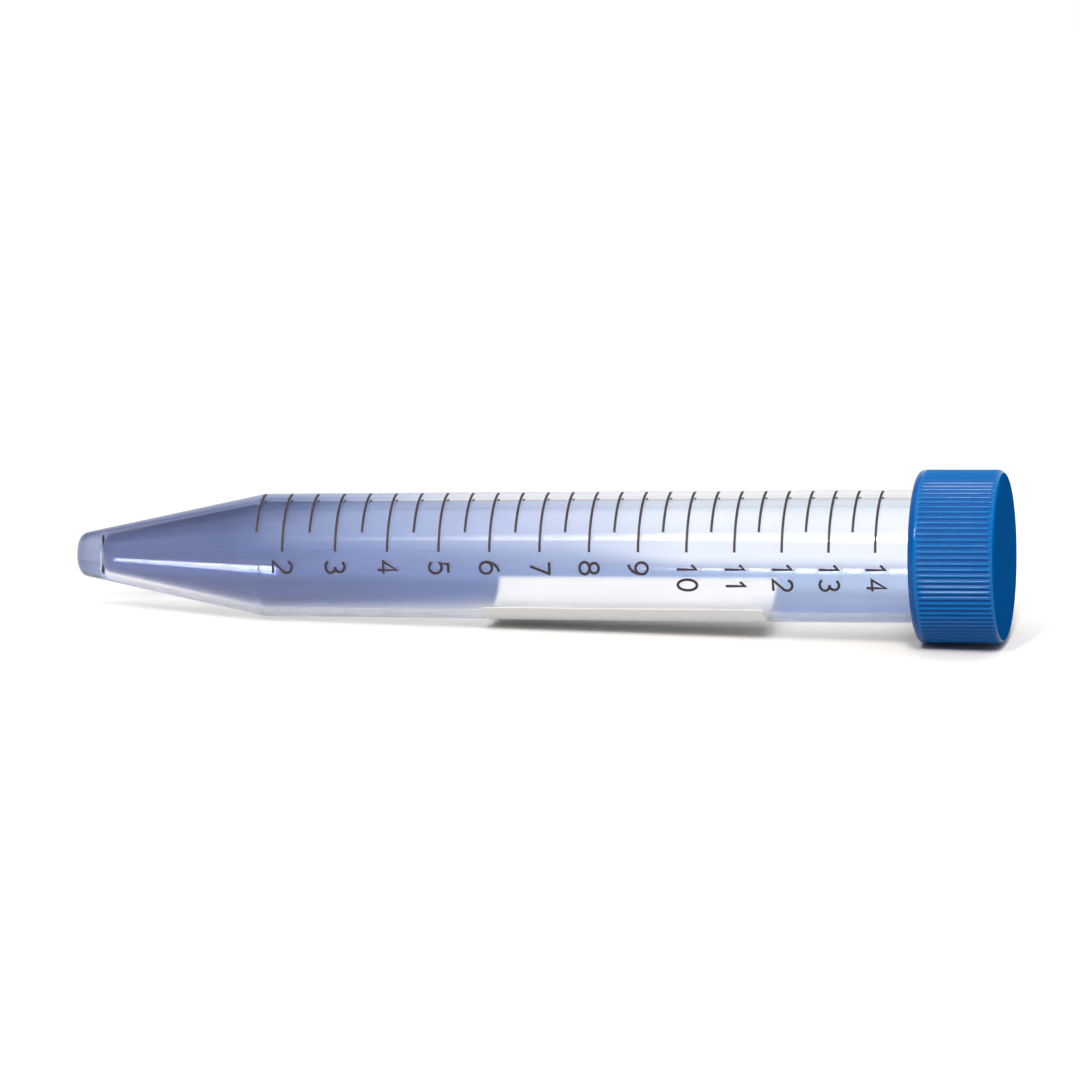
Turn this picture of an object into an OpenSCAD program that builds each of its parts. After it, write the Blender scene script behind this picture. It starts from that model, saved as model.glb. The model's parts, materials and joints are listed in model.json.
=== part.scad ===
// 15 ml conical-bottom tube with a ribbed screw cap, closed, lying on its side.
//
// Every piece is drawn standing on its tip: z runs from the tip (0) to the top of the cap, and angles
// round the tube are counted from its front (-y), positive to the right. lay_down() then turns the closed
// tube to the rest that it finds on a flat floor (z = 0): on the rim of the cap and on the shoulder of the
// cone. The origin is under the middle of the lying tube, with the cap towards +x.
// Lengths are in millimetres, volumes in millilitres and angles in degrees.

/* [Tube] */
// Length of the tube from its tip to its rim
tube_length = 117.8; // [114:0.1:122]
// Length of the cone from the tip to the shoulder
cone_length = 24.4; // [20:0.1:30]
// Diameter of the blunt tip
tip_d = 5.3; // [4.8:0.1:6.5]
// Radius on the edge of the tip
tip_round = 1.4; // [0.5:0.1:1.8]
// Outer diameter at the shoulder
shoulder_d = 15.7; // [15:0.1:16.4]
// Radius that blends the cone into the body
shoulder_round = 2; // [0.5:0.1:5]
// Outer diameter of the straight shank under the cap
shank_d = 16.84; // [16.7:0.02:17.1]
// Length of the straight shank that shows under the cap
shank_length = 10; // [5:0.5:16]
// Wall of the body
body_wall = 1.1; // [0.8:0.05:1.3]
// Wall of the cone
cone_wall = 1.1; // [0.8:0.05:1.3]
// Solid plastic under the cavity
tip_floor = 3; // [2:0.1:5]
// Radius round the bottom of the cavity
cavity_round = 1.5; // [0.5:0.1:1.8]

/* [Neck] */
// Outer diameter of the neck between the turns of its thread
neck_d = 16.5; // [16.2:0.05:16.55]
// Length of the neck from the rim down
neck_length = 8.4; // [7.5:0.1:8.6]
// Radius on both edges of the rim
rim_round = 0.3; // [0.1:0.05:0.35]

/* [Thread] */
// Rise of the thread in one turn
thread_pitch = 3; // [2.6:0.1:3.4]
// Turns of thread on the neck
neck_turns = 1.75; // [1:0.125:1.875]
// Turns of thread in the cap
cap_turns = 1.75; // [1:0.125:2]
// Height of the thread ridge
thread_depth = 0.72; // [0.5:0.02:0.8]
// Width of the ridge at its foot
thread_foot = 1.6; // [1.3:0.05:1.6]
// Width of the ridge at its crest
thread_crest = 0.6; // [0.3:0.05:0.8]
// Turn over which each end of a ridge sinks into its wall
thread_fade = 40; // [20:5:60]
// Plain neck between the thread and the rim
neck_lead = 0.9; // [0.6:0.05:1.2]
// Plain bore between the cap's thread and the liner
cap_lead = 0.4; // [0.2:0.05:0.8]

/* [Cap] */
// Diameter of the cap
cap_d = 22; // [21.6:0.1:23]
// Height of the cap
cap_height = 11; // [10.2:0.1:12]
// Thickness of the cap's flat top
cap_top = 1.4; // [1:0.1:2]
// Radius round the top edge
top_round = 1; // [0.4:0.1:1.4]
// Radius round the open edge
skirt_round = 0.8; // [0.3:0.1:1]
// Bevel inside the open edge
skirt_bevel = 0.4; // [0.1:0.05:0.6]
// Number of grip ribs
rib_count = 90; // [60:2:96]
// Depth of the grooves between the ribs
rib_depth = 0.24; // [0.1:0.02:0.5]
// Width of a groove at its mouth, as a share of the distance between two grooves
groove_mouth = 0.8; // [0.4:0.02:0.9]
// Width of a groove at its bottom, as a share of the distance between two grooves
groove_bottom = 0.1; // [0.04:0.02:0.3]
// Plain band between the open edge and the ribs
skirt_band = 1; // [1:0.1:3]

/* [Liner] */
// Thickness of the sealing disc
liner_thickness = 0.8; // [0.5:0.1:1.5]

/* [Print] */
// Thickness of the ink
ink = 0.08; // [0.05:0.01:0.15]
// Width of a graduation line
line_width = 0.32; // [0.2:0.02:0.5]
// Smallest marked volume
first_mark = 1.5; // [1:0.5:4]
// Largest marked volume
last_mark = 14; // [8:0.5:14]
// Volume between two lines
mark_step = 0.5; // [0.5, 1]
// Least distance from a line to the cap, so that no line runs under it
mark_margin = 1; // [0.5:0.1:3]
// Turn round the tube of a whole-millilitre line
long_line = 74; // [60:1:90]
// Turn round the tube of a half-millilitre line
short_line = 56; // [30:1:58]
// Turn from the end of the long lines to the writing panel
panel_turn = 57.5; // [45:0.5:75]
// Turn round the tube that the writing panel takes
panel_width = 102; // [60:1:120]
// Height of the writing panel's lower edge above the tip
panel_bottom = 53.7; // [40:0.1:60]
// Length of the writing panel along the tube
panel_length = 36; // [20:0.5:40]

/* [Fits] */
// Radial clearance between each thread crest and the wall that it faces
thread_clearance = 0.2; // [0.15:0.01:0.3]
// Axial gap at the flanks that pull the cap down
flank_gap = 0.1; // [0.05:0.01:0.2]
// Radial clearance round the liner
liner_clearance = 0.1; // [0.05:0.01:0.2]
// Air under the ink, so that a film and the wall stay two solids
ink_gap = 0.01; // [0.005:0.005:0.03]

/* [Rest] */
// Turn of the lying tube about its own axis
rest_roll = -15; // [-45:1:45]

/* [Hidden] */
$fn = 96;
arc_steps = 6;       // straight pieces in a rounded corner
thread_step = 10;    // degrees between two sections of a thread
thread_root = 0.3;   // how far a ridge reaches into the wall that carries it
thread_sink = 0.2;   // how far its ends sink below that wall, as a share of its height
groove_past = 0.08;  // how far a groove's cutter starts outside the cap

clear_plastic = [0.80, 0.83, 0.93, 0.45];
ink_black = [0.13, 0.10, 0.13];
panel_white = [0.95, 0.96, 0.98];
liner_white = [0.90, 0.90, 0.88];
cap_blue = [0.02, 0.33, 0.70];

// Slopes and radii of the outer wall, tip first
tip_r = tip_d / 2;
shoulder_r = shoulder_d / 2;
shank_r = shank_d / 2;
neck_r = neck_d / 2;
cap_r = cap_d / 2;
cone_slope = (shoulder_r - tip_r) / cone_length;
cone_angle = atan(cone_slope);
overall = tube_length + liner_thickness + cap_top;
skirt_z = overall - cap_height;
shank_z = skirt_z - shank_length;
body_slope = (shank_r - shoulder_r) / (shank_z - cone_length);
body_angle = atan(body_slope);

// The cavity: its cone, its tapered bore and its straight bore
cavity_tip_r = tip_r - cone_wall / cos(cone_angle);
bore_foot_r = shoulder_r - body_wall - body_slope * cone_length;
bore_r = shank_r - body_wall;
bore_z = (bore_foot_r - cavity_tip_r) / (cone_slope - body_slope);
bore_start_r = cavity_tip_r + cone_slope * bore_z;
floor_r = cavity_tip_r + cone_slope * tip_floor;
cone_volume = frustum(floor_r, bore_start_r, bore_z - tip_floor);
body_volume = frustum(bore_start_r, bore_r, shank_z - bore_z);

// The two threads run on one helix, the cap's just under the neck's
neck_thread_z = tube_length - neck_lead - thread_foot / 2 - neck_turns * thread_pitch;
cap_bore_r = neck_r + thread_depth + thread_clearance;
flank_slope = (thread_foot - thread_crest) / 2 / thread_depth;
thread_offset = thread_foot - flank_slope * (cap_bore_r - neck_r) + flank_gap;
cap_thread_z = tube_length - cap_lead - thread_foot / 2 - cap_turns * thread_pitch;
cap_thread_turn = 360 * (cap_thread_z - neck_thread_z + thread_offset) / thread_pitch;

// The rest: the floor touches the blend at the shoulder and the radius round the cap's open edge
tip_arc = corner(tip_round, 0, tip_r + cone_slope * tip_round, cone_angle);
shoulder_arc = [
    cone_length + shoulder_round * sin((cone_angle + body_angle) / 2) / cos((cone_angle - body_angle) / 2),
    shoulder_r - shoulder_round * cos((cone_angle + body_angle) / 2) / cos((cone_angle - body_angle) / 2)
];
skirt_arc = [skirt_z + skirt_round, cap_r - skirt_round];
top_arc = [overall - top_round, cap_r - top_round];
rest_line = skirt_arc - shoulder_arc;
rest_tilt = atan2(rest_line[1], rest_line[0]) - asin((shoulder_round - skirt_round) / norm(rest_line));
axis_height = shoulder_round + shoulder_arc * away(rest_tilt);
lying_low_x = tip_arc * [cos(rest_tilt), -sin(rest_tilt)] - tip_round;
lying_high_x = top_arc * [cos(rest_tilt), sin(rest_tilt)] + top_round;

function frustum(r1, r2, h) = PI * h * (r1 * r1 + r1 * r2 + r2 * r2) / 3 / 1000;

function cube_root(x) = pow(x, 1 / 3);

// Direction away from the axis, leaned back by an angle, as [z, r]
function away(angle) = [-sin(angle), cos(angle)];

// Centre [z, r] of an arc that touches the plane z = z0 and a wall of slope tan(angle), which at the
// centre's height has radius wall_r
function corner(radius, z0, wall_r, angle) = [z0 + radius, wall_r - radius / cos(angle)];

// Points [r, z] of an arc round a centre [z, r], with its outward direction leaned from one angle to another
function arc(centre, radius, from, to) = [
    for (i = [0 : arc_steps])
        let (d = centre + radius * away(from + (to - from) * i / arc_steps))
            [d[1], d[0]]
];

// Outer radius of the tube below the neck
function wall_r(z) =
    z < cone_length ? tip_r + cone_slope * z
    : z < shank_z ? shoulder_r + body_slope * (z - cone_length)
    : shank_r;

// Height of the liquid's surface above the tip at a volume: the bore's frustums turned round
function level(v) =
    v <= cone_volume
        ? tip_floor + (cube_root(pow(floor_r, 3) + 3000 * cone_slope * v / PI) - floor_r) / cone_slope
    : v <= cone_volume + body_volume
        ? bore_z + (cube_root(pow(bore_start_r, 3) + 3000 * body_slope * (v - cone_volume) / PI)
            - bore_start_r) / body_slope
    : shank_z + 1000 * (v - cone_volume - body_volume) / (PI * bore_r * bore_r);

function is_whole(v) = abs(v - round(v)) < 0.01;

// The marked volumes: those whose lines lie clear of the cap
function marks() = [
    for (v = [first_mark : mark_step : last_mark])
        if (level(v) + line_width / 2 < skirt_z - mark_margin) v
];

// Turns the standing tube about its axis, lays it down and sets it on the floor
module lay_down() {
    translate([-(lying_low_x + lying_high_x) / 2, 0, axis_height])
        rotate([0, 90 - rest_tilt, 0])
            rotate([0, 0, rest_roll])
                children();
}

// A trapezoid ridge on a round wall, wound up a right-hand helix from angle 0 and height 0.
// side is 1 on an outer wall and -1 in a bore. Both ends sink into the wall.
module thread(wall, side, turns) {
    total = 360 * turns;
    sections = ceil(total / thread_step);
    foot_r = wall - side * thread_root;

    function rise(a) = a >= thread_fade ? 1 : sin(90 * a / thread_fade);
    function height(a) = thread_depth * ((1 + thread_sink) * min(rise(a), rise(total - a)) - thread_sink);
    function half_width(r) = thread_foot / 2 - flank_slope * side * (r - wall);
    function section(a) =
        let (
            crest_r = wall + side * height(a),
            low = a / 360 * thread_pitch,
            outline = [
                [foot_r, low - half_width(foot_r)], [foot_r, low + half_width(foot_r)],
                [crest_r, low + half_width(crest_r)], [crest_r, low - half_width(crest_r)]
            ],
            turned = side > 0 ? outline : [outline[3], outline[2], outline[1], outline[0]]
        )
        [for (p = turned) [p[0] * cos(a), p[0] * sin(a), p[1]]];

    polyhedron(
        points = [for (i = [0 : sections]) each section(total * i / sections)],
        faces = concat(
            [[0, 1, 2, 3], [for (j = [3 : -1 : 0]) 4 * sections + j]],
            [
                for (i = [0 : sections - 1], j = [0 : 3])
                    let (a = 4 * i + j, b = 4 * i + (j + 1) % 4)
                        each [[b, a, a + 4], [b, a + 4, b + 4]]
            ]
        )
    );
}

// A film of ink on the tube's wall, between two heights and two angles from the front. It bends with the
// wall where the body meets the cone and the shank.
module film(low, high, from, to) {
    bends = [for (z = [cone_length, shank_z]) if (z > low && z < high) z];
    heights = [low, each bends, high];
    last = len(heights) - 1;
    rotate([0, 0, from - 90])
        rotate_extrude(angle = to - from)
            polygon([
                for (z = heights) [wall_r(z) + ink_gap + ink, z],
                for (i = [last : -1 : 0]) [wall_r(heights[i]) + ink_gap, heights[i]]
            ]);
}

// Clear moulded tube: cone, tapered body, straight shank, and a neck with its thread
module tube() {
    inner_arc = corner(cavity_round, tip_floor, floor_r + cone_slope * cavity_round, cone_angle);
    rim_outer = [tube_length - rim_round, neck_r - rim_round];
    rim_inner = [tube_length - rim_round, bore_r + rim_round];
    neck_z = tube_length - neck_length;
    step = shank_r - neck_r;
    color(clear_plastic) lay_down() {
        union() {
            rotate_extrude() polygon(concat(
                [[0, 0]],
                arc(tip_arc, tip_round, 90, cone_angle),
                arc(shoulder_arc, shoulder_round, cone_angle, body_angle),
                [[shank_r, shank_z], [shank_r, neck_z - step], [neck_r, neck_z]],
                arc(rim_outer, rim_round, 0, -90),
                arc(rim_inner, rim_round, -90, -180),
                [[bore_r, shank_z], [bore_start_r, bore_z]],
                [for (i = [arc_steps : -1 : 0]) arc(inner_arc, cavity_round, 90, cone_angle)[i]],
                [[0, tip_floor]]
            ));
            translate([0, 0, neck_thread_z]) thread(neck_r, 1, neck_turns);
        }
    }
}

// Graduation lines: long at each whole millilitre, short at each half
module scale_marks() {
    color(ink_black) lay_down()
        for (v = marks())
            film(level(v) - line_width / 2, level(v) + line_width / 2,
                -long_line, (is_whole(v) ? 0 : short_line - long_line));
}

// White field to write on
module writing_panel() {
    color(panel_white) lay_down()
        film(panel_bottom, panel_bottom + panel_length, panel_turn, panel_turn + panel_width);
}

// Sealing disc between the rim and the cap's flat top
module cap_liner() {
    color(liner_white) lay_down()
        translate([0, 0, tube_length])
            cylinder(h = liner_thickness, r = cap_bore_r - liner_clearance);
}

// The grooves between the grip ribs, as seen from the top. Each is cut from a little outside the cap, and
// it ends by itself where the rounded top edge falls below its bottom.
module rib_grooves() {
    pitch = 360 / rib_count;
    mouth = groove_mouth * pitch / 2;
    bottom = groove_bottom * pitch / 2;
    outside_r = cap_r + groove_past;
    bottom_r = cap_r - rib_depth;
    for (i = [0 : rib_count - 1])
        rotate(i * pitch)
            polygon([
                for (p = [[outside_r, -mouth], [outside_r, mouth], [bottom_r, bottom], [bottom_r, -bottom]])
                    p[0] * [cos(p[1]), sin(p[1])]
            ]);
}

// Ribbed cap with a flat top and its thread inside
module screw_cap() {
    inner_z = tube_length + liner_thickness;
    ribs_z = skirt_z + skirt_band;
    color(cap_blue) lay_down() {
        difference() {
            rotate_extrude() polygon(concat(
                [[cap_bore_r + skirt_bevel, skirt_z]],
                arc(skirt_arc, skirt_round, 90, 0),
                arc(top_arc, top_round, 0, -90),
                [[0, overall], [0, inner_z], [cap_bore_r, inner_z], [cap_bore_r, skirt_z + skirt_bevel]]
            ));
            translate([0, 0, ribs_z])
                linear_extrude(height = overall + groove_past - ribs_z) rib_grooves();
        }
        rotate([0, 0, cap_thread_turn])
            translate([0, 0, cap_thread_z]) thread(cap_bore_r, -1, cap_turns);
    }
}

tube();
scale_marks();
writing_panel();
cap_liner();
screw_cap();
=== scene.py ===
"""The looks of a closed 15 ml conical tube that lies on a plain pale floor.

Every piece is worked out standing on its tip, in millimetres: z runs from the tip to the top of the cap,
and angles round the tube are counted from its front (-y), positive to the right. lay_down() then puts the
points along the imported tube's own axis, in metres.
"""

import json
import math

import bpy
import numpy as np
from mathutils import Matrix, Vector


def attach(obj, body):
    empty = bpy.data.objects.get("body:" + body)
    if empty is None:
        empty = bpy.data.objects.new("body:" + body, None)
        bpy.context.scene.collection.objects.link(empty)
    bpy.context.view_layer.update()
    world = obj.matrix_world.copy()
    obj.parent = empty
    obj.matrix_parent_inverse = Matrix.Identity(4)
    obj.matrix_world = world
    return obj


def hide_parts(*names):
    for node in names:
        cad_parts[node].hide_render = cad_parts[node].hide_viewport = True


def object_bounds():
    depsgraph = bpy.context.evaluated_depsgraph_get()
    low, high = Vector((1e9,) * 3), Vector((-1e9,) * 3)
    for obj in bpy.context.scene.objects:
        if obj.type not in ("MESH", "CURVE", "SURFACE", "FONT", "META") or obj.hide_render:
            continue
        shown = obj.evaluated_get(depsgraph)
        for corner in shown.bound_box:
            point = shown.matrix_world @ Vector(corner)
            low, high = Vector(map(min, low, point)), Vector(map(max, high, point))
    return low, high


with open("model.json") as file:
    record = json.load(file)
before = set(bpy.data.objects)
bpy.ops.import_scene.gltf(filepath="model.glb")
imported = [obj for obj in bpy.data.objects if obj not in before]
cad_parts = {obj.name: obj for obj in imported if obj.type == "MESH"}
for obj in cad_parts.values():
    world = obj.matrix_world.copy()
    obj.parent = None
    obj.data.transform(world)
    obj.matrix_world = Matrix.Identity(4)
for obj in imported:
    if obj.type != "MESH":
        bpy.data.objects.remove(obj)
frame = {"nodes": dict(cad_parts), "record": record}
cad_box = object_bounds()

# Sizes of the moulded parts, in millimetres
TUBE_LENGTH = 117.8
CONE_LENGTH = 24.4
TIP_R = 2.65
TIP_ROUND = 1.4
SHOULDER_R = 7.85
SHOULDER_ROUND = 2.0
SHANK_R = 8.42
SHANK_LENGTH = 10.0
BODY_WALL = 1.1
CONE_WALL = 1.1
TIP_FLOOR = 3.0
CAVITY_ROUND = 1.5
NECK_R = 8.25
RIM_ROUND = 0.3

THREAD_PITCH = 3.0
THREAD_TURNS = 1.75
THREAD_DEPTH = 0.72
THREAD_FOOT = 1.6
THREAD_CREST = 0.6
THREAD_FADE = 40.0  # degrees over which each end of a thread grows
THREAD_CLEARANCE = 0.2
FLANK_GAP = 0.1
NECK_LEAD = 0.9
CAP_LEAD = 0.4

CAP_R = 11.0
CAP_HEIGHT = 11.0
CAP_TOP = 1.4
LINER = 0.8
TOP_ROUND = 1.0
SKIRT_ROUND = 0.8
SKIRT_BEVEL = 0.4
SKIRT_BAND = 1.0
RIBS = 90
RIB_DEPTH = 0.24
RIB_FADE = 0.5  # the ribs grow to their full depth over this height
RIB_END = 0.6  # the grooves' own tone fades out about this far below the flat top
BORE_BEVEL = 0.25  # in the corner between the cap's bore and the underside of its top
FLAT_TOP_DEPTH = 0.25  # the flat top's finish goes this far down the rounded edge

# Heights above the tip
CAP_INNER_Z = TUBE_LENGTH + LINER
CAP_TOP_Z = CAP_INNER_Z + CAP_TOP
CAP_Z = CAP_TOP_Z - CAP_HEIGHT
RIB_LOW_Z = CAP_Z + SKIRT_BAND
SHANK_Z = CAP_Z - SHANK_LENGTH
NECK_Z = 109.4

# Print
INK_GAP = 0.01
INK = 0.08
DIGIT_HEIGHT = 2.8
DIGIT_WIDTH = 1.9
DIGIT_PITCH = 2.2
DIGIT_STROKE = 0.34
DIGIT_START = 7.5  # degrees past the end of the long lines
FIRST_NUMBER = 2

REST_ROLL = -15.0  # turn of the lying tube about its own axis, in degrees
MM = 0.001

# ---------------------------------------------------------------- where the tube lies


def tube_axis():
    """The tip's centre and the tip-to-cap direction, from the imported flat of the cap's top."""
    top = next(mount for mount in frame["record"]["mounts"] if mount["name"] == "cap_top")
    along = np.array(top["axis"], float)
    along /= np.linalg.norm(along)
    return np.array(top["pos_m"], float) - CAP_TOP_Z * MM * along, along


TIP, ALONG = tube_axis()
SIDE = np.array([0.0, 1.0, 0.0])
DOWN = np.cross(SIDE, ALONG)


def lay_down(points):
    """Standing millimetres to lying metres: a turn about the tube's axis, then its three directions."""
    roll = math.radians(REST_ROLL)
    x = points[..., 0] * math.cos(roll) - points[..., 1] * math.sin(roll)
    y = points[..., 0] * math.sin(roll) + points[..., 1] * math.cos(roll)
    z = points[..., 2]
    return TIP + MM * (x[..., None] * DOWN + y[..., None] * SIDE + z[..., None] * ALONG)


def stand_up(points):
    """Lying metres to standing (radius, angle in degrees from the front, height) in millimetres."""
    offset = (points - TIP) / MM
    z = offset @ ALONG
    x, y = offset @ DOWN, offset @ SIDE
    angle = np.degrees(np.arctan2(x, -y)) - REST_ROLL
    return np.hypot(x, y), (angle + 180) % 360 - 180, z


def round_axis(angle, radius, z):
    """Standing points at angles in degrees, radii and heights."""
    turn = np.radians(angle)
    return np.stack(np.broadcast_arrays(radius * np.sin(turn), -radius * np.cos(turn), z), axis=-1)


def node_points(name):
    """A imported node's vertices, standing, as (radius, angle, height)."""
    mesh = frame["nodes"][name].data
    flat = np.zeros(len(mesh.vertices) * 3)
    mesh.vertices.foreach_get("co", flat)
    return stand_up(flat.reshape(-1, 3))


# ---------------------------------------------------------------- meshes


def new_piece(name, points, faces, sharp=35.0):
    """A smooth mesh object at the origin, its place in its mesh. Edges over `sharp` degrees stay crisp."""
    mesh = bpy.data.meshes.new(name)
    mesh.from_pydata(lay_down(points).tolist(), [], faces)
    mesh.validate()
    mesh.shade_smooth()
    mesh.set_sharp_from_angle(angle=math.radians(sharp))
    piece = bpy.data.objects.new(name, mesh)
    bpy.context.scene.collection.objects.link(piece)
    return piece


def turned(name, radius, z, columns, sharp=35.0):
    """A closed turned solid. Row i of the grid is the ring at height z[i] with radius radius[i, angle]; the
    first and last rows are single points on the axis. Faces run round, then along the profile."""
    angles = np.arange(columns) * 360.0 / columns
    rings = round_axis(angles[None, :], radius[1:-1], z[1:-1, None]).reshape(-1, 3)
    ends = np.array([[0.0, 0.0, z[0]], [0.0, 0.0, z[-1]]])
    count = len(z) - 2
    here = np.arange(columns)
    beside = (here + 1) % columns
    ring = np.arange(count - 1)[:, None] * columns
    after = ring + columns
    quads = np.stack([ring + here, ring + beside, after + beside, after + here], axis=-1).reshape(-1, 4)
    first = np.stack([np.full(columns, count * columns), beside, here], axis=-1)
    top = (count - 1) * columns
    last = np.stack([np.full(columns, count * columns + 1), top + here, top + beside], axis=-1)
    faces = quads.tolist() + first.tolist() + last.tolist()
    return new_piece(name, np.vstack([rings, ends]), faces, sharp)


def slab(inner, outer):
    """A closed thin plate between two grids of rows by columns: both skins and the strip round the edge."""
    index = np.arange(outer[..., 0].size).reshape(outer.shape[:2])
    corners = [index[:-1, :-1], index[:-1, 1:], index[1:, 1:], index[1:, :-1]]
    face = np.stack(corners, axis=-1).reshape(-1, 4)
    below = face[:, ::-1] + index.size
    edge = np.concatenate([index[0, :], index[1:, -1], index[-1, -2::-1], index[-2:0:-1, 0]])
    step = np.roll(edge, -1)
    rim = np.stack([edge, edge + index.size, step + index.size, step], axis=-1)
    points = np.vstack([outer.reshape(-1, 3), inner.reshape(-1, 3)])
    return points, np.vstack([face, below, rim])


def joined(parts):
    """Several (points, faces) as one."""
    starts = np.cumsum([0] + [len(points) for points, _ in parts[:-1]])
    faces = [own + start for (_, own), start in zip(parts, starts)]
    return np.vstack([points for points, _ in parts]), np.vstack(faces)


def away(angle):
    """Direction away from the axis, leaned back towards the tip by an angle in degrees, as (r, z)."""
    lean = np.radians(angle)
    return np.stack([np.cos(lean), -np.sin(lean)], axis=-1)


def bend(centre, radius, start, end, steps=10):
    """Points (r, z) of an arc round a centre (r, z), its outward direction leaning from start to end."""
    return np.asarray(centre) + radius * away(np.linspace(start, end, steps + 1))


def straight(start, end, spacing):
    """Points (r, z) between two points, both left out, evenly and about the spacing apart."""
    start, end = np.asarray(start, float), np.asarray(end, float)
    count = max(int(np.linalg.norm(end - start) / spacing), 1)
    share = np.arange(1, count)[:, None] / count
    return start + (end - start) * share


def soft_step(x):
    """0 below 0, 1 above 1, and the smooth cubic between them."""
    x = np.clip(x, 0.0, 1.0)
    return x * x * (3 - 2 * x)


# ---------------------------------------------------------------- the walls of the tube

CONE_SLOPE = (SHOULDER_R - TIP_R) / CONE_LENGTH
BODY_SLOPE = (SHANK_R - SHOULDER_R) / (SHANK_Z - CONE_LENGTH)
CONE_ANGLE = math.degrees(math.atan(CONE_SLOPE))
BODY_ANGLE = math.degrees(math.atan(BODY_SLOPE))
BORE_R = SHANK_R - BODY_WALL
CONE_COS = math.cos(math.radians(CONE_ANGLE))
CAVITY_TIP_R = TIP_R - CONE_WALL / CONE_COS
BORE_FOOT_R = SHOULDER_R - BODY_WALL - BODY_SLOPE * CONE_LENGTH
BORE_Z = (BORE_FOOT_R - CAVITY_TIP_R) / (CONE_SLOPE - BODY_SLOPE)
CAP_BORE_R = NECK_R + THREAD_DEPTH + THREAD_CLEARANCE
FLANK_SLOPE = (THREAD_FOOT - THREAD_CREST) / 2 / THREAD_DEPTH
NECK_THREAD_Z = TUBE_LENGTH - NECK_LEAD - THREAD_FOOT / 2 - THREAD_TURNS * THREAD_PITCH
CAP_THREAD_Z = TUBE_LENGTH - CAP_LEAD - THREAD_FOOT / 2 - THREAD_TURNS * THREAD_PITCH
THREAD_OFFSET = THREAD_FOOT - FLANK_SLOPE * (CAP_BORE_R - NECK_R) + FLANK_GAP
CAP_THREAD_TURN = 360 * (CAP_THREAD_Z - NECK_THREAD_Z + THREAD_OFFSET) / THREAD_PITCH


def wall_radius(z):
    """Outer radius below the neck: the cone, the tapered body, then the straight shank."""
    cone = TIP_R + CONE_SLOPE * z
    body = SHOULDER_R + BODY_SLOPE * (z - CONE_LENGTH)
    return np.minimum(np.minimum(cone, body), SHANK_R)


def bore_radius(z):
    """Inner radius above the cavity's rounded bottom: inner cone, tapered bore, then straight bore."""
    cone = CAVITY_TIP_R + CONE_SLOPE * z
    bore = BORE_FOOT_R + BODY_SLOPE * z
    return np.minimum(np.minimum(cone, bore), BORE_R)


def rows(radius_at, *heights):
    """Profile points (r, z) of a wall at some heights."""
    z = np.concatenate([np.atleast_1d(height) for height in heights])
    return np.stack([radius_at(z), z], axis=-1)


def thread_height(angle, z, start_z, start_turn):
    """Height of a helical ridge over its wall. The ridge's middle climbs one pitch a turn from start_z, at
    start_turn past the right side (90 degrees from the front). Across it the height is a trapezoid with
    eased edges, and it fades at both ends."""
    total = 360 * THREAD_TURNS
    height = np.zeros(np.broadcast(angle, z).shape)
    for turn in range(math.ceil(THREAD_TURNS)):
        along = (angle - 90 - start_turn) % 360 + 360 * turn
        offset = np.abs(z - start_z - along / 360 * THREAD_PITCH)
        end = np.minimum(along, total - along)
        fade = np.sin(np.radians(90 * np.clip(end / THREAD_FADE, 0, 1)))
        across = (THREAD_FOOT / 2 - offset) / (THREAD_FOOT / 2 - THREAD_CREST / 2)
        ridge = THREAD_DEPTH * np.minimum(soft_step(across), fade)
        height = np.maximum(height, np.where(end > 0, ridge, 0))
    return height


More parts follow.
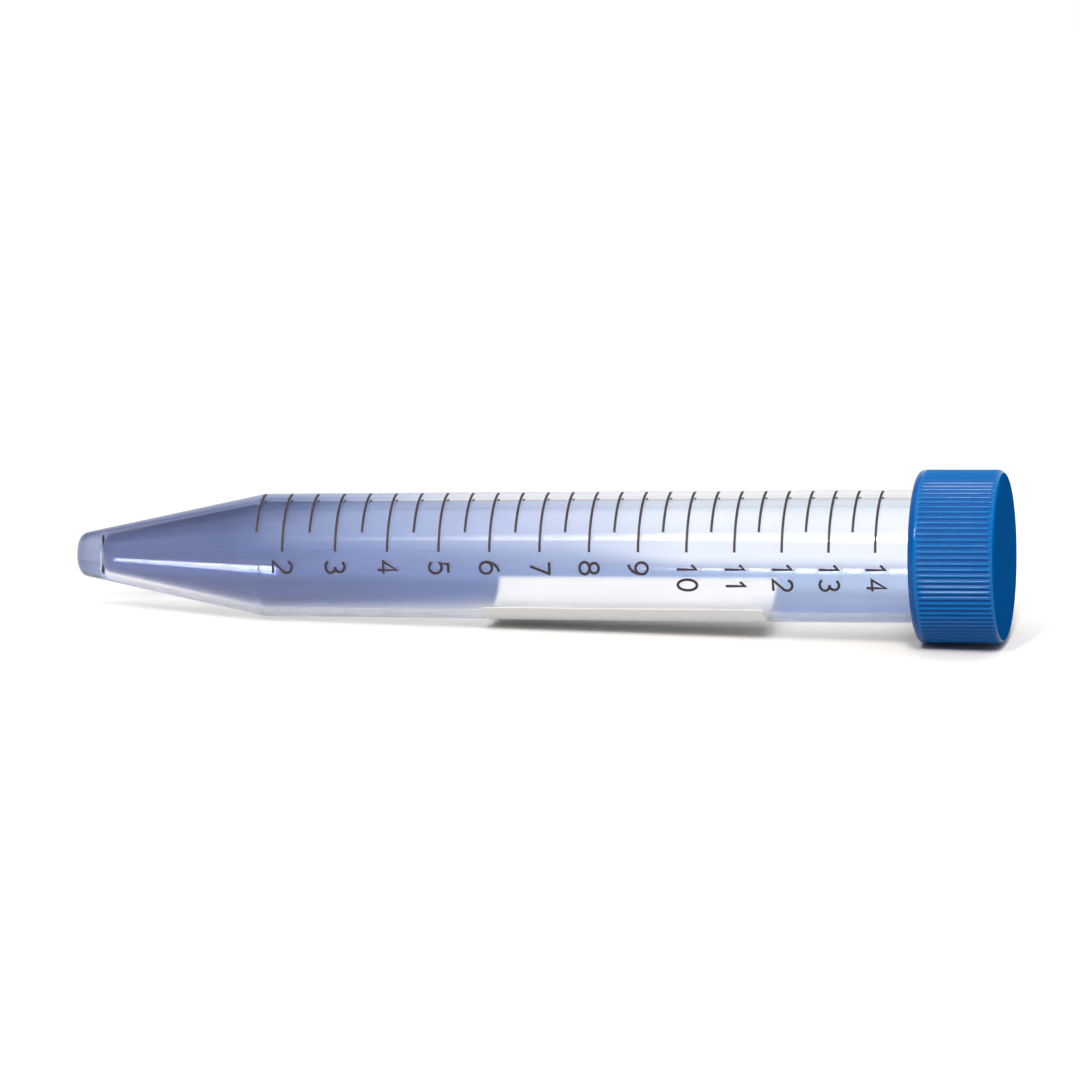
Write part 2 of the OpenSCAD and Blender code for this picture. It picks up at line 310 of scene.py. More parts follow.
def make_tube():
    """The clear tube: one closed turned surface. Its profile goes from the tip up the outer wall, over the
    rim and down the bore to the rounded bottom of the cavity, and on the neck the thread is added to it.
    The rows are 4 mm apart in the cone and 6 mm on the body, and one close to each bend keeps the shading
    of the straight walls even."""
    columns = 288
    near = 0.4
    near_bore = 0.3
    above_tip = 1.3
    hair = 0.01
    tip_centre = (TIP_R + CONE_SLOPE * TIP_ROUND - TIP_ROUND / CONE_COS, TIP_ROUND)
    middle = math.radians((CONE_ANGLE + BODY_ANGLE) / 2)
    spread = math.cos(math.radians((CONE_ANGLE - BODY_ANGLE) / 2))
    shoulder_centre = (
        SHOULDER_R - SHOULDER_ROUND * math.cos(middle) / spread,
        CONE_LENGTH + SHOULDER_ROUND * math.sin(middle) / spread,
    )
    floor_z = TIP_FLOOR + CAVITY_ROUND
    floor_centre = (CAVITY_TIP_R + CONE_SLOPE * floor_z - CAVITY_ROUND / CONE_COS, floor_z)
    step = SHANK_R - NECK_R
    rim_z = TUBE_LENGTH - RIM_ROUND
    neck_low, neck_high = (NECK_R, NECK_Z), (NECK_R, rim_z)
    outside = np.vstack([
        [[0.0, 0.0], [0.6, 0.0]],
        bend(tip_centre, TIP_ROUND, 90, CONE_ANGLE),
        rows(wall_radius, above_tip, np.arange(4.0, 24.0, 4.0), CONE_LENGTH - near),
        bend(shoulder_centre, SHOULDER_ROUND, CONE_ANGLE, BODY_ANGLE, steps=6),
        rows(wall_radius, CONE_LENGTH + near, np.arange(30.0, 97.0, 6.0), SHANK_Z, NECK_Z - step),
        [neck_low],
        straight(neck_low, neck_high, spacing=0.1),
        bend((NECK_R - RIM_ROUND, rim_z), RIM_ROUND, 0, -90, steps=5),
    ])
    inside = np.vstack([
        bend((BORE_R + RIM_ROUND, rim_z), RIM_ROUND, -90, -180, steps=5),
        rows(bore_radius, np.arange(111.0, 30.0, -6.0), BORE_Z + near_bore, BORE_Z, BORE_Z - near_bore),
        rows(bore_radius, np.arange(20.0, 7.0, -4.0), floor_z),
        bend(floor_centre, CAVITY_ROUND, 90, CONE_ANGLE)[::-1],
        [[0.4, TIP_FLOOR], [0.0, TIP_FLOOR]],
    ])
    profile = np.vstack([outside, inside])
    angles = np.arange(columns)[None, :] * 360.0 / columns
    radius = np.repeat(profile[:, :1], columns, axis=1)
    on_neck = (profile[:, 1] > NECK_Z) & (profile[:, 0] > NECK_R - hair)
    radius[on_neck] += thread_height(angles, profile[on_neck, 1:], NECK_THREAD_Z, 0.0)
    return turned("clear_tube", radius, profile[:, 1], columns, sharp=30.0)


def make_cap():
    """The cap: one closed turned surface, from the middle of the top's underside down the threaded bore,
    round the open edge, up the ribbed outside and over the flat top. The ribs are one cosine wave round the
    side, with a ridge at angle 0. It fades in above the plain band and keeps its radius up to the top, so it
    runs out where the rounded edge falls below it. A ring or two divide the flat faces."""
    per_rib = 10
    columns = RIBS * per_rib
    skirt_centre = (CAP_R - SKIRT_ROUND, CAP_Z + SKIRT_ROUND)
    top_centre = (CAP_R - TOP_ROUND, CAP_TOP_Z - TOP_ROUND)
    fade_in = RIB_LOW_Z + np.array([0.0, 0.06, 0.14, 0.24, 0.36, 0.5])
    rib_z = np.concatenate([fade_in, np.linspace(RIB_LOW_Z + 1.0, top_centre[1] - 0.3, 6)])
    ribbed = np.stack([np.full(len(rib_z), CAP_R), rib_z], axis=-1)
    bore_low, bore_high = (CAP_BORE_R, CAP_Z + SKIRT_BEVEL), (CAP_BORE_R, CAP_INNER_Z)
    profile = np.vstack([
        [[0.0, CAP_INNER_Z], [4.0, CAP_INNER_Z]],
        [[CAP_BORE_R - BORE_BEVEL, CAP_INNER_Z], [CAP_BORE_R, CAP_INNER_Z - BORE_BEVEL]],
        straight(bore_low, bore_high, spacing=0.15)[::-1],
        [bore_low, (CAP_BORE_R + SKIRT_BEVEL, CAP_Z)],
        bend(skirt_centre, SKIRT_ROUND, 90, 0, steps=8),
        ribbed,
        bend(top_centre, TOP_ROUND, 0, -90, steps=14),
        [[7.0, CAP_TOP_Z], [3.0, CAP_TOP_Z], [0.0, CAP_TOP_Z]],
    ])
    angles = np.arange(columns)[None, :] * 360.0 / columns
    radius = np.repeat(profile[:, :1], columns, axis=1)
    z = profile[:, 1:]
    in_bore = (profile[:, 0] == CAP_BORE_R)
    radius[in_bore] -= thread_height(angles, z[in_bore], CAP_THREAD_Z, CAP_THREAD_TURN)
    wave = (1 - np.cos(np.radians(angles * RIBS))) / 2
    outside = (profile[:, 0] > CAP_R - TOP_ROUND) & (profile[:, 1] >= RIB_LOW_Z)
    ribs = CAP_R - RIB_DEPTH * wave * soft_step((z[outside] - RIB_LOW_Z) / RIB_FADE)
    radius[outside] = np.minimum(radius[outside], ribs)
    return turned("ribbed_cap", radius, profile[:, 1], columns, sharp=40.0)


def finish_flat_top(piece):
    """Gives the second material to the faces of the flat top and of the last of its rounded edge."""
    mesh = piece.data
    centre = np.zeros(len(mesh.polygons) * 3)
    mesh.polygons.foreach_get("center", centre)
    _, _, z = stand_up(centre.reshape(-1, 3))
    flat = z > CAP_TOP_Z - FLAT_TOP_DEPTH
    mesh.polygons.foreach_set("material_index", flat.astype(np.int32))


# ---------------------------------------------------------------- print

# Centre lines of the figures in a box one wide and one high. A stroke is a chain of corners (x, y) and of
# arcs (centre x, centre y, radius x, radius y, first angle, last angle).
FIGURES = {
    "0": [[(0.5, 0.5, 0.48, 0.5, 90, 450)]],
    "1": [[(0.2, 0.76), (0.58, 1.0), (0.58, 0.0)]],
    "2": [[(0.5, 0.72, 0.47, 0.28, 165, -38), (0.02, 0.0), (0.98, 0.0)]],
    "3": [[(0.46, 0.745, 0.43, 0.255, 150, -90)], [(0.46, 0.255, 0.5, 0.255, 90, -150)]],
    "4": [[(0.72, 0.0), (0.72, 1.0), (0.0, 0.29), (1.0, 0.29)]],
    "5": [[(0.92, 1.0), (0.2, 1.0), (0.1, 0.54), (0.47, 0.33, 0.5, 0.33, 138, -145)]],
    "6": [[(0.82, 1.0), (0.84, 0.33, 0.82, 0.66, 98, 180), (0.5, 0.32, 0.48, 0.32, 180, 540)]],
    "7": [[(0.02, 1.0), (0.98, 1.0), (0.36, 0.0)]],
    "8": [[(0.5, 0.76, 0.42, 0.24, 90, 450)], [(0.5, 0.26, 0.5, 0.26, 90, 450)]],
    "9": [[(0.18, 0.0), (0.16, 0.67, 0.82, 0.66, -82, 0), (0.5, 0.68, 0.48, 0.32, 0, 360)]],
}


def stroke_path(stroke):
    """Points (x, y) along one stroke of a figure. An arc has a point about every 12 degrees."""
    spacing = 12
    points = []
    for part in stroke:
        if len(part) == 2:
            points.append(np.array([part]))
            continue
        x, y, wide, high, first, last = part
        count = max(int(abs(last - first) / spacing), 2)
        turn = np.radians(np.linspace(first, last, count))
        points.append(np.stack([x + wide * np.cos(turn), y + high * np.sin(turn)], axis=-1))
    return np.vstack(points)


def ribbon(path, width):
    """A flat ribbon along a path, as a grid of rows along it by three columns across. Corners are mitred:
    the across direction is the mean of its two neighbours', lengthened to keep the width, up to a limit."""
    sharpest = 0.55  # cosine of half the sharpest turn that is mitred in full
    tiny = 1e-6
    gap = np.linalg.norm(np.diff(path, axis=0), axis=1)
    path = path[np.concatenate([[True], gap > tiny])]
    ahead = np.diff(path, axis=0)
    ahead /= np.linalg.norm(ahead, axis=1)[:, None]
    before = np.vstack([ahead[:1], ahead])
    after = np.vstack([ahead, ahead[-1:]])
    along = before + after
    along /= np.maximum(np.linalg.norm(along, axis=1), tiny)[:, None]
    across = np.stack([along[:, 1], -along[:, 0]], axis=-1)
    stretch = 1 / np.maximum(np.sum(along * after, axis=1), sharpest)
    half = np.array([-0.5, 0.0, 0.5]) * width
    return path[:, None, :] + across[:, None, :] * stretch[:, None, None] * half[None, :, None]


def onto_wall(flat, angle, z):
    """Flat print (x to the right, y up, in millimetres) wrapped on the wall at an angle and a height:
    x becomes an arc of that length. Gives the under side and the upper side of the ink."""
    height = z + flat[..., 1]
    wall = wall_radius(height)
    turn = angle + np.degrees(flat[..., 0] / wall)
    return (
        round_axis(turn, wall + INK_GAP, height),
        round_axis(turn, wall + INK_GAP + INK, height),
    )


def film(turn, z):
    """Ink as a closed thin plate on the wall, over a row of angles by a column of heights."""
    wall = wall_radius(z)
    return slab(round_axis(turn, wall + INK_GAP, z), round_axis(turn, wall + INK_GAP + INK, z))


def line_heights(z):
    """Middle heights of the printed lines and their width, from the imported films' own vertices. Heights
    more than 1 mm apart belong to two lines."""
    space = 1.0
    z = np.sort(z)
    lines = np.split(z, np.flatnonzero(np.diff(z) > space) + 1)
    middles = [(line.min() + line.max()) / 2 for line in lines]
    return middles, lines[0].max() - lines[0].min()


def make_lines():
    """The graduation lines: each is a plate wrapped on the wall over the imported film's own arc."""
    columns = 49
    across = np.array([[-0.5], [0.0], [0.5]])
    _, angle, z = node_points("scale_marks")
    middles, width = line_heights(z)
    parts = []
    for middle in middles:
        own = angle[np.abs(z - middle) < width]
        turn = np.linspace(own.min(), own.max(), columns)[None, :]
        parts.append(film(turn, middle + width * across))
    points, faces = joined(parts)
    return new_piece("graduation_lines", points, faces.tolist())


def make_numbers():
    """The millilitre numbers, read with the cap up: flat ribbons along each figure's strokes, beside the
    end of every whole millilitre's line. The lines are half a millilitre apart, and the first is at 1.5."""
    _, angle, z = node_points("scale_marks")
    middles, _ = line_heights(z)
    start = angle.max() + DIGIT_START
    scale = np.array([DIGIT_WIDTH - DIGIT_STROKE, DIGIT_HEIGHT - DIGIT_STROKE])
    corner = np.array([DIGIT_STROKE / 2, -(DIGIT_HEIGHT - DIGIT_STROKE) / 2])
    parts = []
    for number, middle in enumerate(middles[1::2], FIRST_NUMBER):
        for place, figure in enumerate(str(number)):
            for stroke in FIGURES[figure]:
                path = stroke_path(stroke) * scale + corner + np.array([place * DIGIT_PITCH, 0.0])
                inner, outer = onto_wall(ribbon(path, DIGIT_STROKE), start, middle)
                parts.append(slab(inner, outer))
    points, faces = joined(parts)
    return new_piece("scale_numbers", points, faces.tolist())


def make_panel():
    """The white field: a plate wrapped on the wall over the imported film's own arc and length."""
    columns, heights = 121, 25
    _, angle, z = node_points("writing_panel")
    turn = np.linspace(angle.min(), angle.max(), columns)[None, :]
    points, faces = film(turn, np.linspace(z.min(), z.max(), heights)[:, None])
    return new_piece("note_panel", points, faces.tolist())


# ---------------------------------------------------------------- finishes


def link(tree, start, end):
    """Joins an output to an input."""
    tree.links.new(start, end)


def add(tree, kind, **values):
    """A node with its properties set, or its inputs where the name is an input's."""
    node = tree.nodes.new(kind)
    for name, value in values.items():
        if name in node.inputs:
            node.inputs[name].default_value = value
        else:
            setattr(node, name, value)
    return node


def maths(tree, operation, *values):
    """The result of a Math node on one or two values, each a socket or a number."""
    node = add(tree, "ShaderNodeMath", operation=operation)
    for socket, value in zip(node.inputs, values):
        if isinstance(value, bpy.types.NodeSocket):
            link(tree, value, socket)
        else:
            socket.default_value = value
    return node.outputs[0]


def eased(tree, value, low, high, start=0.0, end=1.0):
    """A value that goes smoothly from start to end as its input goes from low to high."""
    node = add(tree, "ShaderNodeMapRange", interpolation_type="SMOOTHSTEP")
    for name, number in (("From Min", low), ("From Max", high), ("To Min", start), ("To Max", end)):
        node.inputs[name].default_value = number
    link(tree, value, node.inputs["Value"])
    return node.outputs["Result"]


def between(tree, value, low, high, soft):
    """1 inside a range and 0 outside it, with soft edges."""
    inner = eased(tree, value, low - soft, low + soft)
    return maths(tree, "MULTIPLY", inner, eased(tree, value, high + soft, high - soft))


def blended(tree, share, first, second):
    """A colour between two, each a socket or three numbers. A Mix node's colours are its inputs 6 and 7
    and its output 2."""
    node = add(tree, "ShaderNodeMix", data_type="RGBA")
    link(tree, share, node.inputs[0])
    for socket, value in zip(node.inputs[6:8], (first, second)):
        if isinstance(value, bpy.types.NodeSocket):
            link(tree, value, socket)
        else:
            socket.default_value = (*value, 1.0)
    return node.outputs[2]


def new_group(name, inputs, outputs):
    """An empty node group with float inputs (name to default) and float outputs."""
    tree = bpy.data.node_groups.new(name, "ShaderNodeTree")
    for label, value in inputs.items():
        socket = tree.interface.new_socket(name=label, in_out="INPUT", socket_type="NodeSocketFloat")
        socket.default_value = value
    for label in outputs:
        tree.interface.new_socket(name=label, in_out="OUTPUT", socket_type="NodeSocketFloat")
    return tree, add(tree, "NodeGroupInput"), add(tree, "NodeGroupOutput")


def tube_group():
    """Where a point of the lying tube is, in millimetres and degrees: Down and Back from its axis, Height
    from the tip toward the cap, and Turn, which is 0 at the front, 90 underneath and 180 at the back."""
    tree, _, outside = new_group("tube_place", {}, ("Down", "Back", "Height", "Turn"))
    where = add(tree, "ShaderNodeTexCoord")
    turn = add(tree, "ShaderNodeMapping", vector_type="TEXTURE")
    turn.inputs["Location"].default_value = TIP
    turn.inputs["Rotation"].default_value = (0.0, math.atan2(ALONG[0], ALONG[2]), 0.0)
    turn.inputs["Scale"].default_value = (MM, MM, MM)
    link(tree, where.outputs["Object"], turn.inputs["Vector"])
    split = add(tree, "ShaderNodeSeparateXYZ")
    link(tree, turn.outputs["Vector"], split.inputs[0])
    for socket, label in zip(split.outputs, ("Down", "Back", "Height")):
        link(tree, socket, outside.inputs[label])
    front = maths(tree, "MULTIPLY", split.outputs[1], -1.0)
    angle = maths(tree, "ARCTAN2", split.outputs[0], front)
    link(tree, maths(tree, "MULTIPLY", angle, math.degrees(1)), outside.inputs["Turn"])
    return tree


def mottle_group():
    """Slow, faint change of tone: noise on the piece's own coordinates, about 1 with a named depth. It can
    be drawn out along the tube."""
    knobs = {"Spacing mm": 4.0, "Depth": 0.1, "Stretch": 1.0}
    tree, inside, outside = new_group("mottle", knobs, ("Tone",))
    where = add(tree, "ShaderNodeGroup", node_tree=TUBE_PLACE)
    drawn = maths(tree, "DIVIDE", where.outputs["Height"], inside.outputs["Stretch"])
    place = add(tree, "ShaderNodeCombineXYZ")
    for socket, value in zip(place.inputs, (where.outputs["Down"], where.outputs["Back"], drawn)):
        link(tree, value, socket)
    noise = add(tree, "ShaderNodeTexNoise", Detail=3.0, Roughness=0.55)
    link(tree, place.outputs[0], noise.inputs["Vector"])
    link(tree, maths(tree, "DIVIDE", 1.0, inside.outputs["Spacing mm"]), noise.inputs["Scale"])
    centred = maths(tree, "SUBTRACT", noise.outputs["Fac"], 0.5)
    tone = maths(tree, "ADD", maths(tree, "MULTIPLY", centred, inside.outputs["Depth"]), 1.0)
    link(tree, tone, outside.inputs["Tone"])
    return tree


def groove_group():
    """How deep in the cap's ribs a point is: the ribs' own cosine wave, 1 along the bottom of each groove
    and 0 along each ridge, and 0 wherever the cap has no ribs."""
    side_low, side_high = CAP_BORE_R + 0.5, CAP_BORE_R + 1.0
    tree, _, outside = new_group("rib_grooves", {}, ("Groove",))
    where = add(tree, "ShaderNodeGroup", node_tree=TUBE_PLACE)
    angle = maths(tree, "SUBTRACT", where.outputs["Turn"], REST_ROLL)
    wave = maths(tree, "COSINE", maths(tree, "MULTIPLY", angle, math.radians(RIBS)))
    share = maths(tree, "MULTIPLY", maths(tree, "SUBTRACT", 1.0, wave), 0.5)
    flat = add(tree, "ShaderNodeCombineXYZ")
    link(tree, where.outputs["Down"], flat.inputs[0])
    link(tree, where.outputs["Back"], flat.inputs[1])
    radius = add(tree, "ShaderNodeVectorMath", operation="LENGTH")
    link(tree, flat.outputs[0], radius.inputs[0])
    outer = eased(tree, radius.outputs["Value"], side_low, side_high)
    soft = RIB_FADE / 2
    ribbed = between(tree, where.outputs["Height"], RIB_LOW_Z + soft, CAP_TOP_Z - RIB_END, soft)
    groove = maths(tree, "MULTIPLY", share, maths(tree, "MULTIPLY", outer, ribbed))
    link(tree, groove, outside.inputs["Groove"])
    return tree


TUBE_PLACE = tube_group()
MOTTLE = mottle_group()
GROOVES = groove_group()


def mottle(tree, spacing, depth, stretch=1.0):
    """The tone of a mottle with its own values."""
    node = add(tree, "ShaderNodeGroup", node_tree=MOTTLE)
    for name, value in (("Spacing mm", spacing), ("Depth", depth), ("Stretch", stretch)):
        node.inputs[name].default_value = value
    return node.outputs["Tone"]


def new_finish(name, **surface):
    """A material and its shader, with the plain numbers on the shader's own sockets."""
    material = bpy.data.materials.new(name)
    material.use_nodes = True
    shader = material.node_tree.nodes["Principled BSDF"]
    for socket, value in surface.items():
        shader.inputs[socket.replace("_", " ")].default_value = value
    return material, material.node_tree, shader


def set_surface(tree, shader, colour, roughness, tone, haze, grain, lift):
    """Colour and roughness that drift over the piece, and a fine grain that lifts the surface. Tone, haze
    and grain are each a mottle's spacing, depth and, where it is drawn out along the tube, stretch."""
    drift = add(tree, "ShaderNodeVectorMath", operation="SCALE")
    if isinstance(colour, bpy.types.NodeSocket):
        link(tree, colour, drift.inputs[0])
    else:
        drift.inputs[0].default_value = colour
    link(tree, mottle(tree, *tone), drift.inputs["Scale"])
    link(tree, drift.outputs[0], shader.inputs["Base Color"])
    link(tree, maths(tree, "MULTIPLY", roughness, mottle(tree, *haze)), shader.inputs["Roughness"])
    bump = add(tree, "ShaderNodeBump", Strength=lift, Distance=0.1 * MM)
    link(tree, mottle(tree, *grain), bump.inputs["Height"])
    link(tree, bump.outputs[0], shader.inputs["Normal"])


# The clear plastic's tints, as stops of height above the tip and colour: on the near and on the far wall,
# above and below the tube's axis. Besides the plastic's own lavender they hold painted shade: the far wall's
# stops and those below the axis are darker, as of a shaded floor and things behind seen through the wall.
NEAR_TINT = (
    (0.0, (0.28, 0.29, 0.40)),
    (4.0, (0.80, 0.82, 0.91)),
    (24.0, (0.80, 0.82, 0.91)),
    (60.0, (0.93, 0.94, 0.97)),
    (120.0, (0.95, 0.96, 0.98)),
)
# painted shade: the near wall below the axis is darker in the cone and next to the cap
NEAR_LOW_TINT_AND_SHADE = (
    (0.0, (0.28, 0.29, 0.40)),
    (4.0, (0.75, 0.77, 0.89)),
    (24.0, (0.68, 0.73, 0.88)),
    (50.0, (0.74, 0.79, 0.92)),
    (55.0, (0.94, 0.96, 0.98)),
    (88.0, (0.94, 0.96, 0.98)),
    (92.0, (0.50, 0.60, 0.85)),
    (120.0, (0.50, 0.60, 0.85)),
)
# painted shade: the far wall is much darker than the near one, most of all in the cone
FAR_TINT_AND_SHADE = (
    (0.0, (0.12, 0.16, 0.34)),
    (18.0, (0.113, 0.155, 0.337)),
    (36.0, (0.30, 0.38, 0.62)),
    (58.0, (0.50, 0.58, 0.82)),
    (68.0, (0.60, 0.68, 0.87)),
    (78.0, (0.78, 0.84, 0.94)),
    (120.0, (0.84, 0.90, 0.97)),
)
# painted shade: the far wall below the axis is darker still
FAR_LOW_TINT_AND_SHADE = (
    (0.0, (0.12, 0.16, 0.34)),
    (18.0, (0.108, 0.15, 0.337)),
    (50.0, (0.14, 0.21, 0.44)),
    (90.0, (0.32, 0.43, 0.68)),
    (120.0, (0.42, 0.51, 0.75)),
)
# painted light: the wall under the white field is left nearly colourless, so the field shows as white as
# under strong light
BEHIND_PANEL_PAINTED_LIGHT = (0.97, 0.98, 1.0)
CARRIED_TINT = (0.96, 0.97, 1.0)


def ramp(tree, value, stops):
    """A colour along a list of (place, colour) stops, with the value measured on the same scale."""
    node = add(tree, "ShaderNodeValToRGB")
    span = stops[-1][0]
    link(tree, maths(tree, "DIVIDE", value, span), node.inputs[0])
    elements = node.color_ramp.elements
    for _ in stops[2:]:
        elements.new(0.5)
    for element, (place, colour) in zip(elements, stops):
        element.position = place / span
        element.color = (*colour, 1.0)
    return node.outputs["Color"]


def wall_tint(tree, height, down, turn):
    """The tint of the tube's wall, from the height above the tip and the distance below the axis, in
    millimetres, and the turn from the front, in degrees. Besides the plastic's lavender it holds painted
    shade. On each wall the upper stops give way to the darker lower ones below the axis: on the far wall
    lower down, and more sharply, towards the cap. The near wall's tint gives way to the far wall's darker
    one at the top and underneath, in the cone up to 45 degrees sooner."""
    near_low = eased(tree, down, low=2.5, high=7.0)
    near = blended(tree, near_low, ramp(tree, height, NEAR_TINT), ramp(tree, height, NEAR_LOW_TINT_AND_SHADE))
    middle = eased(tree, height, low=60.0, high=80.0, start=1.5, end=2.7)
    sharpness = eased(tree, height, low=60.0, high=80.0, start=1.0, end=3.0)
    past_middle = maths(tree, "MULTIPLY", maths(tree, "SUBTRACT", down, middle), sharpness)
    far_low = eased(tree, past_middle, low=-3.0, high=3.0)
    far = blended(tree, far_low, ramp(tree, height, FAR_TINT_AND_SHADE), ramp(tree, height, FAR_LOW_TINT_AND_SHADE))
    in_cone = eased(tree, height, low=24.0, high=56.0, start=45.0, end=0.0)
    above_axis = eased(tree, down, low=2.0, high=-2.0, start=0.3, end=1.0)
    sooner = maths(tree, "MULTIPLY", in_cone, above_axis)
    round_back = maths(tree, "ADD", maths(tree, "ABSOLUTE", turn), sooner)
    return blended(tree, eased(tree, round_back, low=80.0, high=125.0), near, far)


def behind_panel(tree, height, turn):
    """1 on the wall under the white field, and 0 elsewhere. The turn is that of the lying tube, so the
    film's own angles are turned with it."""
    _, angle, z = node_points("writing_panel")
    angle = angle + REST_ROLL
    along = between(tree, height, z.min(), z.max(), soft=0.3)
    return maths(tree, "MULTIPLY", along, between(tree, turn, angle.min(), angle.max(), soft=1.5))


def clear_plastic():
    """Clear plastic with a lavender tint, deepest in the cone and fading toward the cap, with painted shade
    that makes it darker below the axis and on the far wall. Behind the white field the wall is left as good
    as colourless, painted light that keeps the field bright white. Light that a dull surface sends on passes
    almost untinted, and nearly half of a lamp's light goes straight through. The far side of the cone has a
    clear gloss that shows the lamp as a streak."""
    lamp_share = 0.46
    surface = {"Transmission_Weight": 1.0, "IOR": 1.45, "Coat_Roughness": 0.03}
    material, tree, shader = new_finish("clear_plastic", **surface)
    at = add(tree, "ShaderNodeGroup", node_tree=TUBE_PLACE).outputs
    height, turn = at["Height"], at["Turn"]
    # the wall's tint with painted shade: darker below the axis and on the far wall
    tint = wall_tint(tree, height, at["Down"], turn)
    # painted light: under the white field the tint gives way to almost no colour
    tint = blended(tree, behind_panel(tree, height, turn), tint, BEHIND_PANEL_PAINTED_LIGHT)
    light = add(tree, "ShaderNodeLightPath").outputs
    carried = maths(tree, "GREATER_THAN", light["Diffuse Depth"], 0.5)
    tint = blended(tree, carried, tint, CARRIED_TINT)
    far_side = eased(tree, at["Back"], low=-1.0, high=3.0)
    in_cone = eased(tree, height, low=34.0, high=26.0)
    link(tree, maths(tree, "MULTIPLY", far_side, in_cone), shader.inputs["Coat Weight"])
    let_through = maths(tree, "MULTIPLY", light["Is Shadow Ray"], lamp_share)
    link(tree, maths(tree, "SUBTRACT", 1.0, let_through), shader.inputs["Alpha"])
    tone, haze, grain = (5.0, 0.05, 4.0), (3.0, 0.8, 5.0), (5.0, 1.0, 5.0)
    set_surface(tree, shader, tint, roughness=0.05, tone=tone, haze=haze, grain=grain, lift=0.05)
    return material


def blue_plastic():
    """Glossy blue plastic. The grooves between the ribs are darker with painted shade and duller than the
    ridges, and the plain band under the ribs has a little painted shade too."""
    ridge_colour = (0.0, 0.14, 0.44)
    # painted shade: the grooves between the ribs are darker than the ridges
    groove_shade_colour = (0.0, 0.068, 0.30)
    # painted shade: the plain band under the ribs is darker
    band_shade_colour = (0.0, 0.078, 0.32)
    material, tree, shader = new_finish("blue_plastic", IOR=1.25)
    groove = add(tree, "ShaderNodeGroup", node_tree=GROOVES).outputs["Groove"]
    height = add(tree, "ShaderNodeGroup", node_tree=TUBE_PLACE).outputs["Height"]
    colour = blended(tree, groove, ridge_colour, groove_shade_colour)
    on_band = eased(tree, height, RIB_LOW_Z, RIB_LOW_Z - 0.3)
    colour = blended(tree, on_band, colour, band_shade_colour)
    roughness = eased(tree, groove, low=0.0, high=1.0, start=0.09, end=0.3)
    tone, haze, grain = (4.0, 0.12), (2.0, 0.5), (0.35, 1.0)
    set_surface(tree, shader, colour, roughness, tone=tone, haze=haze, grain=grain, lift=0.06)
    return material


def blue_top():
    """The cap's flat top: the same plastic with the dull, fine grain of a spark-worn mould."""
    material, tree, shader = new_finish("blue_top", IOR=1.01)
    colour = (0.0, 0.102, 0.37)
    set_surface(
        tree, shader, colour, roughness=0.6, tone=(6.0, 0.2), haze=(2.0, 0.3), grain=(0.25, 1.0), lift=0.25
    )
    return material


def dark_ink():
    """The near-black print, a little uneven along each stroke."""
    material, tree, shader = new_finish("dark_ink", IOR=1.4)
    colour = (0.035, 0.022, 0.03)
    set_surface(
        tree, shader, colour, roughness=0.5, tone=(0.5, 1.2), haze=(0.4, 0.4), grain=(0.2, 1.0), lift=0.15
    )
    return material


def white_ink():
    """The white field's matt print."""
    material, tree, shader = new_finish("white_ink", IOR=1.4)
    colour = (0.95, 0.955, 0.96)
    set_surface(
        tree, shader, colour, roughness=0.5, tone=(3.0, 0.04), haze=(1.0, 0.3), grain=(0.2, 1.0), lift=0.12
    )
    return material


def liner_plastic():
    """The soft off-white disc inside the cap."""
    material, tree, shader = new_finish("liner_plastic", IOR=1.4)
    colour = (0.80, 0.80, 0.78)
    set_surface(
        tree, shader, colour, roughness=0.6, tone=(2.0, 0.06), haze=(1.0, 0.2), grain=(0.15, 1.0), lift=0.3
    )
    return material


def dress(piece, finish, body, slot, *nodes):
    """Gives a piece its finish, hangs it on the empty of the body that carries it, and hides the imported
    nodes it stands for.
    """
    piece.data.materials.append(finish)
    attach(piece, body)
    if nodes:
        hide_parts(*nodes)
    return piece


# ---------------------------------------------------------------- the pieces

ink = dark_ink()
dress(make_tube(), clear_plastic(), "tube", "clear_plastic", "tube")
cap = dress(make_cap(), blue_plastic(), "cap", "blue_plastic", "screw_cap")
cap.data.materials.append(blue_top())
finish_flat_top(cap)
dress(make_lines(), ink, "tube", "dark_ink", "scale_marks")
dress(make_numbers(), ink, "tube", "dark_ink")
dress(make_panel(), white_ink(), "tube", "white_ink", "writing_panel")
liner = frame["nodes"]["cap_liner"]
liner.data.materials.clear()
liner.data.materials.append(liner_plastic())

# ---------------------------------------------------------------- floor, light and camera

FLOOR_HALF = 6.0  # metres
HORIZON, OVERHEAD = 0.22, 1.35  # strength of the sky at the horizon, and what is added straight up
BACKDROP_TOP, BACKDROP_END = 0.48, 0.62  # the backdrop fades out between these heights, as sines
LAMP_DISTANCE = 2.5
VIEW_AZIMUTH, VIEW_ELEVATION, VIEW_DISTANCE = 10.5, 12.2, 1.28


def seen_directly(tree):
    """1 for rays that show the background: from the camera, off a gloss or through the clear plastic. A ray
    that has already left a dull surface only carries light, so it counts as 0."""
    path = add(tree, "ShaderNodeLightPath")
    seen = maths(tree, "MAXIMUM", path.outputs["Is Camera Ray"], path.outputs["Is Glossy Ray"])
    seen = maths(tree, "MAXIMUM", seen, path.outputs["Is Transmission Ray"])
    return maths(tree, "MULTIPLY", seen, maths(tree, "LESS_THAN", path.outputs["Diffuse Depth"], 0.5))


def floor_material():
    """A pale dull floor that looks near white, and sends less light than that up to the object."""
    sent_up, as_seen = (0.55, 0.55, 0.56), (0.94, 0.94, 0.945)
    material, tree, shader = new_finish("pale_floor", Roughness=0.7, IOR=1.2)
    shade = blended(tree, seen_directly(tree), sent_up, as_seen)
    link(tree, shade, shader.inputs["Base Color"])
    return material


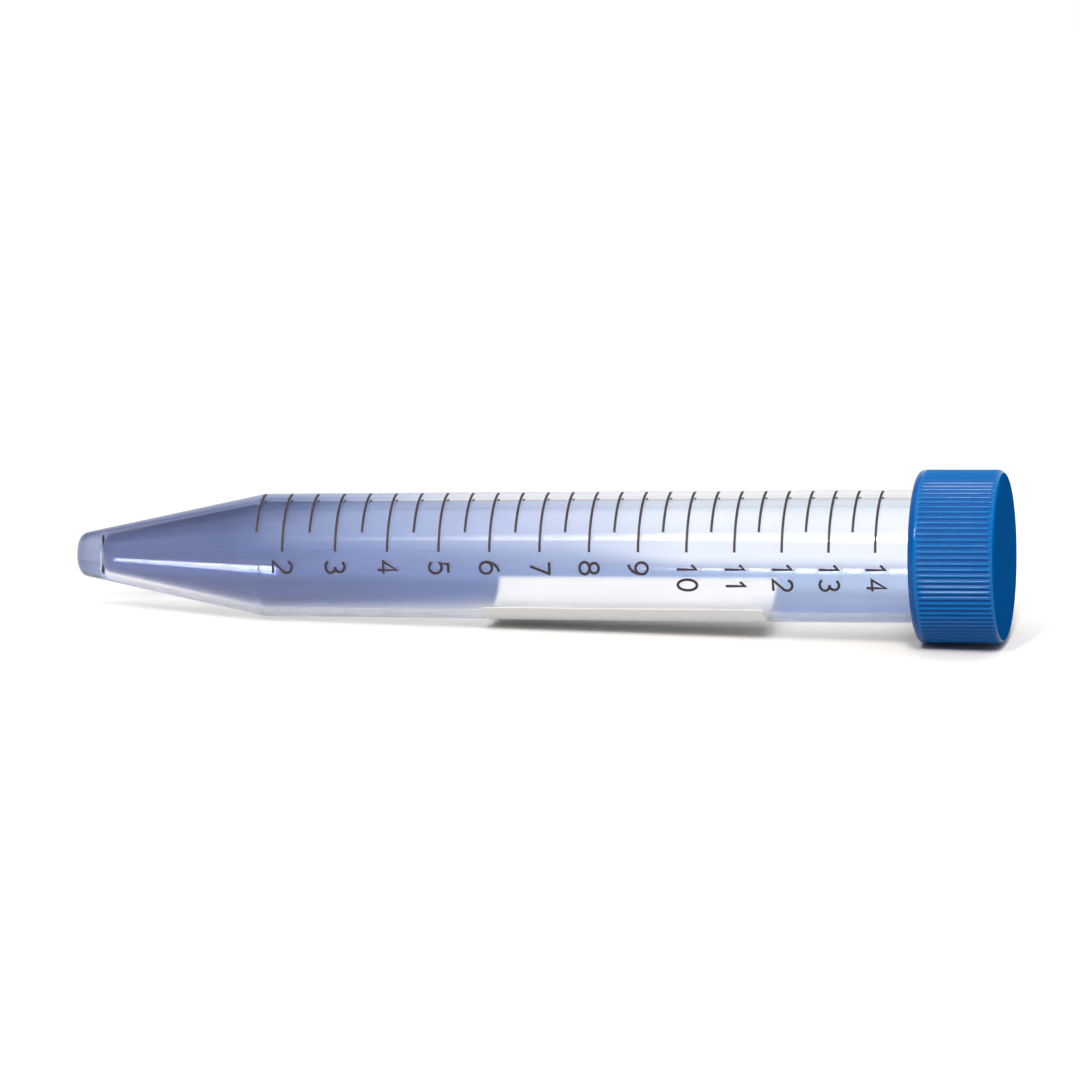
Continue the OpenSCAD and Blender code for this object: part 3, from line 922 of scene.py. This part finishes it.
def make_floor():
    """One flat square under the object."""
    mesh = bpy.data.meshes.new("floor")
    corners = [(x * FLOOR_HALF, y * FLOOR_HALF, 0) for x, y in ((-1, -1), (1, -1), (1, 1), (-1, 1))]
    mesh.from_pydata(corners, [], [(0, 1, 2, 3)])
    floor = bpy.data.objects.new("floor", mesh)
    bpy.context.scene.collection.objects.link(floor)
    mesh.materials.append(floor_material())


def make_world():
    """A soft sky: HORIZON + OVERHEAD * up ** 4. Seen directly it has a plain white backdrop too, which
    fades out above BACKDROP_TOP. Gloss and clear plastic see the backdrop at full height only behind the
    object. In front, it fades upwards from the horizon, so that no edge of it shows in the gloss."""
    world = bpy.data.worlds.new("studio")
    world.use_nodes = True
    tree = world.node_tree
    where = add(tree, "ShaderNodeTexCoord")
    split = add(tree, "ShaderNodeSeparateXYZ")
    link(tree, where.outputs["Generated"], split.inputs[0])
    up = maths(tree, "MAXIMUM", split.outputs[2], 0.0)
    overhead = maths(tree, "MULTIPLY", maths(tree, "POWER", up, 4.0), OVERHEAD)
    sky = maths(tree, "ADD", overhead, HORIZON)
    behind = eased(tree, split.outputs[1], low=-0.3, high=0.3)
    shown = maths(tree, "MAXIMUM", behind, add(tree, "ShaderNodeLightPath").outputs["Is Camera Ray"])
    shown = maths(tree, "MAXIMUM", shown, eased(tree, up, low=BACKDROP_TOP, high=0.0))
    backdrop = maths(tree, "MULTIPLY", seen_directly(tree), eased(tree, up, BACKDROP_END, BACKDROP_TOP))
    backdrop = maths(tree, "MULTIPLY", backdrop, shown)
    background = tree.nodes["Background"]
    background.inputs["Color"].default_value = (0.985, 0.99, 1.0, 1.0)
    link(tree, maths(tree, "MAXIMUM", sky, backdrop), background.inputs["Strength"])
    bpy.context.scene.world = world


def direction(azimuth, elevation):
    """Unit vector from the object towards an azimuth (0 in front, positive to the right) and elevation."""
    turn, rise = math.radians(azimuth), math.radians(elevation)
    flat = math.cos(rise)
    return Vector((math.sin(turn) * flat, -math.cos(turn) * flat, math.sin(rise)))


def place(thing, middle, back, distance):
    """Puts a lamp or a camera at a distance from a point, looking at it."""
    placed = bpy.data.objects.new(thing.name, thing)
    placed.location = middle + back * distance
    placed.rotation_mode = "QUATERNION"
    placed.rotation_quaternion = (-back).to_track_quat("-Z", "Y")
    bpy.context.scene.collection.objects.link(placed)
    return placed


def make_lamp(name, azimuth, elevation, size, power, colour):
    """A soft oblong lamp, its size its width and height, that looks at the object."""
    lamp = bpy.data.lights.new(name, "AREA")
    lamp.shape = "RECTANGLE"
    lamp.size, lamp.size_y = size
    lamp.energy = power
    lamp.color = colour
    place(lamp, Vector((0, 0, 0)), direction(azimuth, elevation), LAMP_DISTANCE)


def make_camera():
    """A long lens, from a little to the right and a little above."""
    low, high = cad_box
    camera = bpy.data.cameras.new("camera")
    camera.lens = 335.0
    camera.sensor_width = 36.0
    camera.clip_start, camera.clip_end = 0.05, 50.0
    view = direction(VIEW_AZIMUTH, VIEW_ELEVATION)
    bpy.context.scene.camera = place(camera, (low + high) / 2, view, VIEW_DISTANCE)


make_floor()
make_world()
make_lamp("key", azimuth=11.5, elevation=48, size=(0.46, 0.80), power=43.0, colour=(1.0, 0.93, 0.84))
make_lamp("strip", azimuth=-11.6, elevation=43, size=(0.10, 0.50), power=16.0, colour=(1.0, 0.97, 0.94))
make_camera()
bpy.context.scene.view_settings.view_transform = "Standard"
